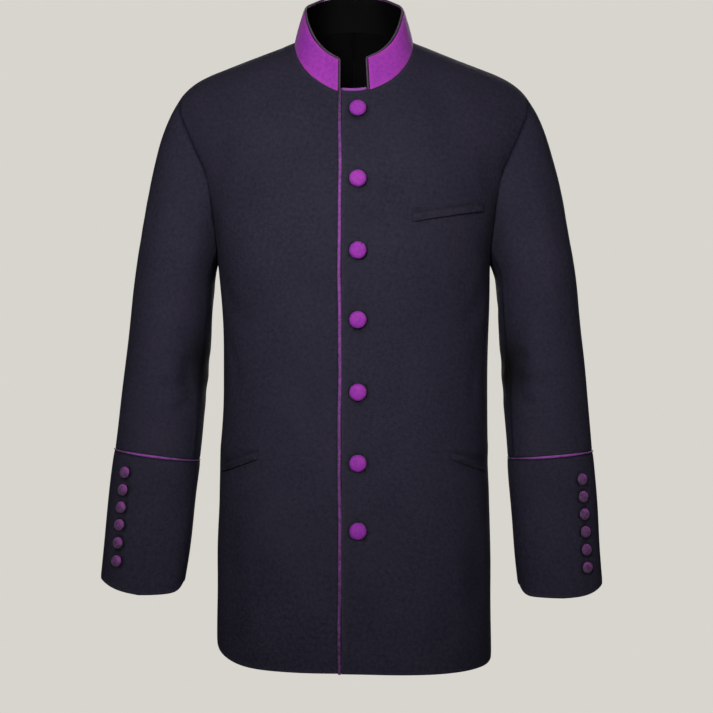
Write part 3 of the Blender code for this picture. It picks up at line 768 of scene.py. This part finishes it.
# The right sleeve's folds lie this many millimetres lower.
RIGHT_LOWER = 6
for side in SIDES:
    flip = 1 if side == "left" else -1
    shift = 0 if side == "left" else RIGHT_LOWER
    folds = [
        (look, (a[0] * flip, a[1] - shift), (b[0] * flip, b[1] - shift), bend * flip, width, depth)
        if look in ("front", "back") else (look, a, b, bend, width, depth)
        for look, a, b, bend, width, depth in ARM_FOLDS
    ]
    press(ARMS[side], out_of_arm, folds, held_by=seam_between(ARMS[side], BODY), unevenness=0.3,
          dents=[(middle_of(name), *CUFF_DENT) for name in CUFF_BUTTONS if side in name])


def eased(names, spot, reach, span):
    """Eases the walls near a spot into one round form, across their seams."""
    near = {}
    for name in names:
        points = points_of(walls[name])
        outer = (normals_of(walls[name]) * out_of_body(points)).sum(axis=1) > 0
        close = np.linalg.norm(points - spot, axis=1) < reach + span
        near[name] = (points, outer, close)
    for side in (True, False):
        spots = np.concatenate([points[close & (outer == side)] for points, outer, close in near.values()])
        tree = tree_of(spots)
        for points, outer, close in near.values():
            weight = np.clip(1 - np.linalg.norm(points - spot, axis=1) / reach, 0, 1)
            weight = weight * weight * (3 - 2 * weight)
            for i in np.flatnonzero((weight > 0) & (outer == side)):
                around = [index for _, index, _ in tree.find_range(points[i], span)]
                points[i] += weight[i] * (spots[around].mean(axis=0) - points[i])
    for name, (points, outer, close) in near.items():
        set_points(walls[name], points)


# The left shoulder's rounding: its middle, its reach, and how far about each point the cloth is evened.
SHOULDER = (0.222, 0.0, -0.070)
SHOULDER_REACH = 0.055
SHOULDER_SPAN = 0.011
sewn = sew_up(PANELS)
for side, flip in (("left", 1), ("right", -1)):
    shoulder = [name + "_" + side for name in ("front", "back", "top_sleeve")]
    for _ in range(2):
        eased(shoulder, np.array(SHOULDER) * (flip, 1, 1), SHOULDER_REACH, SHOULDER_SPAN)

CUFF_HEMS = {
    # how far the front of the hem drops at its inner corner and lifts towards its outer one, and the
    # place across of the cuff's middle
    "left": (0.0125, 0.0030, 0.261),
    "right": (0.0105, 0.0080, 0.2675),
}
CUFF_HALF_WIDTH = 0.0525
# The hem is moved below this level, in front of this place along, and fully so a little further on.
HEM_LEVEL = -0.645
HEM_HEIGHT = 0.06
HEM_FRONT = -0.028
HEM_DEPTH = 0.03
for side in SIDES:
    drop, lift, middle = CUFF_HEMS[side]
    points = points_of(walls["cuff_" + side])
    x, y, z = points.T
    inward = np.clip((middle - np.abs(x)) / CUFF_HALF_WIDTH, 0, 1)
    outward = np.clip((np.abs(x) - middle) / CUFF_HALF_WIDTH, 0, 1)
    low = np.clip((HEM_LEVEL - z) / HEM_HEIGHT, 0, 1)
    forward = np.clip((HEM_FRONT - y) / HEM_DEPTH, 0, 1)
    moved = lift * outward * (1 - 0.42 * outward**6) - drop * (inward**4 - inward**14)
    points[:, 2] += low * forward * moved
    set_points(walls["cuff_" + side], points)

for name in PANELS:
    out = out_of_panel(name, points_of(walls[name]))
    finish_cloth(walls[name], rims[name], sewn[name], out, SUITING, LINING)

# Stand collar: purple cloth outside and black lining inside, two upright bands sewn back to back.
# Their front ends stand apart and leave a square notch.
NECK_MIDDLE = -0.012


def out_of_neck(points):
    x, y, z = points.T
    return unit_rows(np.stack([x, y - NECK_MIDDLE, 0 * z], axis=1))


PURPLE = cloth_paint("purple_cloth", dark=(0.118, 0.008, 0.190), light=(0.222, 0.021, 0.228),
                     roughness=0.7, sheen=0.05, threads=600, bump=0.35, clouds=1.1, slant=0.0)
for name, cloth, slot, flat in (
    ("collar", PURPLE, "purple_cloth", (0.46, 0.046)),
    ("collar_lining", LINING, "black_lining", (0.45, 0.046)),
):
    out = out_of_neck(points_of(walls[name]))
    free = np.zeros(len(rims[name]), bool)
    finish_cloth(walls[name], rims[name], free, out, cloth, cloth)

# Piping: bias strips folded round a thin cord and caught in the seams. The collar's is dark, and the
# front's and the cuffs' are purple. The front's is coloured duller towards the neck and the hem than over
# the chest.
PURPLE_CORD = cloth_paint("purple_cord", dark=(0.026, 0.012, 0.032), light=(0.165, 0.038, 0.205),
                          roughness=0.75, sheen=0.05, threads=700, bump=0.3, grain="Object", clouds=0.8,
                          slant=0.8)
DARK_CORD = cloth_paint("dark_cord", dark=(0.022, 0.013, 0.024), light=(0.060, 0.040, 0.066),
                        roughness=0.75, sheen=0.05, threads=700, bump=0.3, grain="Object", clouds=0.8,
                        slant=0.8)
PIPING_ANGLE = 80
# Millimetres taken off the collar's CAD cord all round, and added to the front's.
COLLAR_OFF = 0.2
FRONT_ADDED = 0.5
# The cuffs' cord has this taken off at the sides and is this much thicker in front than there. Its sides
# lie deeper in the seam, by a length in metres.
CUFF_SIDE_OFF = 0.45
CUFF_FRONT_ADDED = 1.1
CUFF_SIDE_DEEPER = 0.0008
# Below this level the front's piping turns up with the hem, by this share.
FOOT_LEVEL = -0.782
FOOT_SHARE = 0.14
# How bright the front's piping is at some levels, and where it crosses under the notch: above one level,
# and from one place towards the wearer's left.
FRONT_LEVELS = (-0.8, -0.6, -0.3, -0.16, -0.08)
FRONT_TONES = (-0.6, -0.1, 0.5, 0.5, -0.9)
NOTCH_TONE = 0.9
NOTCH_LEVEL = -0.09
NOTCH_START = -0.0145
for name, paint, slot in (
    ("collar_piping", DARK_CORD, "dark_cord"),
    ("front_piping", PURPLE_CORD, "purple_cord"),
    ("cuff_piping_left", PURPLE_CORD, "purple_cord"),
    ("cuff_piping_right", PURPLE_CORD, "purple_cord"),
):
    piece = soft_wall(name, levels=2, sharpness=PIPING_ANGLE)
    points = points_of(piece)
    normals = normals_of(piece)
    x, y, z = points.T
    if name == "collar_piping":
        points -= normals * COLLAR_OFF / 1000
        points[:, 2] += 0.0003 * np.sin(60 * x + 45 * y)
        tone = 0 * z
    elif name == "front_piping":
        points += normals * FRONT_ADDED / 1000
        points[:, 0] += 0.00045 * np.sin(27 * z) + 0.0002 * np.sin(71 * z + 1.0)
        points[:, 2] += FOOT_SHARE * np.clip(FOOT_LEVEL - z, 0, 1)
        tone = np.interp(z, FRONT_LEVELS, FRONT_TONES)
        tone = np.where((x > NOTCH_START) & (z > NOTCH_LEVEL), NOTCH_TONE, tone)
    else:
        out = out_of_arm(points)
        ahead = np.clip(-out[:, 1], 0, 1)
        points -= out * (CUFF_SIDE_DEEPER * (1 - ahead**2))[:, None]
        points -= normals * (CUFF_SIDE_OFF - CUFF_FRONT_ADDED * ahead**2)[:, None] / 1000
        # Painted highlight and painted shade: the cuffs' piping is lighter where it faces forward and darker
        # at its sides.
        tone = 1.3 * ahead**4 - 0.4
    set_points(piece, points)
    mark(piece, "edge", tone)
    piece.data.materials.append(paint)
    pick_only(piece)
    bpy.ops.object.shade_smooth_by_angle(angle=math.radians(60))
    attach(piece, "root")
    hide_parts(name)

# Welts: folded strips of the suiting sewn over the breast and side pocket slits, with the small
# puckers that their stitching draws in.
PINCH_LENGTH = 0.006
for name in ("breast_welt", "pocket_welt_left", "pocket_welt_right"):
    piece = soft_wall(name, levels=4)
    rim = rim_of(piece)
    points = points_of(piece)
    out = out_of_body(points)
    across = points[:, 0]
    low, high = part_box(name)
    to_end = np.minimum(across - low[0], high[0] - across)
    pucker = 0.16 * np.sin(330 * across) + 0.10 * np.sin(790 * across + 1.0)
    pucker -= 0.35 + 0.8 * np.exp(-((to_end / PINCH_LENGTH) ** 2))
    set_points(piece, points + out * np.where(rim, 0.9, 1.0)[:, None] * pucker[:, None] / 1000)
    finish_cloth(piece, rim, np.zeros(len(rim), bool), out, SUITING, SUITING)

# Covered buttons: purple cloth drawn over a domed shell and gathered under its rim, on a short
# shank. Seven close the front, and six smaller ones stand on each cuff.
BUTTON_STEPS = (
    # share of the radius, share of the height
    (0.97, 0.10),
    (1.00, 0.26),
    (0.99, 0.40),
    (0.945, 0.56),
    (0.83, 0.75),
    (0.62, 0.90),
    (0.34, 0.98),
)
BUTTON_BASE = 0.8
bpy.ops.object.select_all(action="DESELECT")
bpy.ops.mesh.primitive_circle_add(vertices=44, radius=BUTTON_BASE, fill_type="NGON")
button = bpy.context.active_object
button.name = "button_pattern"
bpy.ops.object.mode_set(mode="EDIT")
bpy.ops.mesh.select_mode(type="FACE")
bpy.ops.mesh.select_all(action="SELECT")
wide, tall = BUTTON_BASE, 0.0
for share, height in BUTTON_STEPS:
    bpy.ops.mesh.extrude_region_move(TRANSFORM_OT_translate={"value": (0, 0, height - tall)})
    bpy.ops.transform.resize(value=(share / wide, share / wide, 1))
    wide, tall = share, height
bpy.ops.mesh.inset(thickness=0.2)
bpy.ops.transform.translate(value=(0, 0, 0.018))
bpy.ops.mesh.select_all(action="DESELECT")
bpy.ops.mesh.select_mode(type="EDGE")
bpy.ops.mesh.select_non_manifold()
bpy.ops.mesh.edge_face_add()
bpy.ops.mesh.inset(thickness=0.25)
bpy.ops.mesh.select_all(action="SELECT")
bpy.ops.mesh.normals_make_consistent(inside=False)
bpy.ops.object.mode_set(mode="OBJECT")
apply_modifier(button, "SUBSURF", levels=2, render_levels=2)
shape = points_of(button)
around = np.arctan2(shape[:, 1], shape[:, 0])
GATHER = 0.012
UNDER_RIM = 0.45
gather = np.clip(1 - shape[:, 2] / UNDER_RIM, 0, 1) * np.hypot(shape[:, 0], shape[:, 1])
shape[:, :2] *= 1 + (GATHER * gather * (np.sin(22 * around) + 0.5 * np.sin(37 * around + 1)))[:, None]
shape[:, 2] += GATHER * gather * np.sin(22 * around + 1.5)
# The cuffs' buttons are painted pale towards their upper outer side as a painted highlight, and the front's
# get painted shade under their rims and are painted a little lighter towards their top.
upward = 0.55 * shape[:, 0] + 0.8 * shape[:, 1]
rolled = np.clip(np.hypot(shape[:, 0], shape[:, 1]) / 0.25 - 3.0, 0, 1)
cuff_button_highlight = 1.9 * np.clip(upward - 0.1, 0, 1) - 0.55
front_button_light_and_shade = 0.2 * upward - 0.7 * rolled
# The cuffs' buttons take a darker copy of the purple cloth, as painted shade.
SHADED_PURPLE = cloth_paint("cuff_button_cloth", dark=(0.028, 0.021, 0.033), light=(0.165, 0.030, 0.185),
                          roughness=0.7, sheen=0.05, threads=600, bump=0.35, clouds=0.3, slant=0.0)
# The front's buttons turn on their shanks to face forward: this much of the way forward is added to theirs,
# and each stands out by this length times what it still lacks of facing forward.
TILT = 0.6
STAND_OUT = 0.03
for name in FRONT_BUTTONS + CUFF_BUTTONS:
    on_cuff = "cuff" in name
    node = np.array([vertex.co for vertex in nodes[name].data.vertices])
    centre = middle_of(name)
    facing = Vector(np.linalg.eigh(np.cov((node - node.mean(axis=0)).T))[1][:, 0])
    outward = Vector(out_of_arm(centre[None])[0] if on_cuff else (centre[0], centre[1], 0))
    if facing.dot(outward) < 0:
        facing = -facing
    reach = (node - centre) @ np.array(facing)
    deep = reach.max() - reach.min()
    if not on_cuff:
        facing = (facing + Vector((0, -TILT, 0))).normalized()
        centre = centre + STAND_OUT * (1 + facing.y) * np.array(facing)
    up = Vector((0, 0, 1)) - facing * facing.z
    up.normalize()
    side_way = up.cross(facing)
    radius = (np.abs((node - centre) @ np.array(up)).max()
              + np.abs((node - centre) @ np.array(side_way)).max()) / 2
    piece = bpy.data.objects.new(name + "_covered", button.data.copy())
    bpy.context.scene.collection.objects.link(piece)
    scaled = shape * (radius, radius, deep)
    turn = np.array((side_way, up, facing))
    set_points(piece, scaled @ turn + centre - deep / 2 * np.array(facing))
    mesh = piece.data
    corner = values_of(mesh.loops, "vertex_index", 1, np.int64)
    grain = mesh.uv_layers.new(name="grain")
    grain.data.foreach_set("uv", (scaled[corner, :2] + centre[0] + centre[2]).ravel())
    mesh.materials.append(SHADED_PURPLE if on_cuff else PURPLE)
    mark(piece, "edge", cuff_button_highlight if on_cuff else front_button_light_and_shade)
    pick_only(piece)
    bpy.ops.object.shade_smooth()
    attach(piece, "root")
    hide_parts(name)
bpy.data.objects.remove(button)
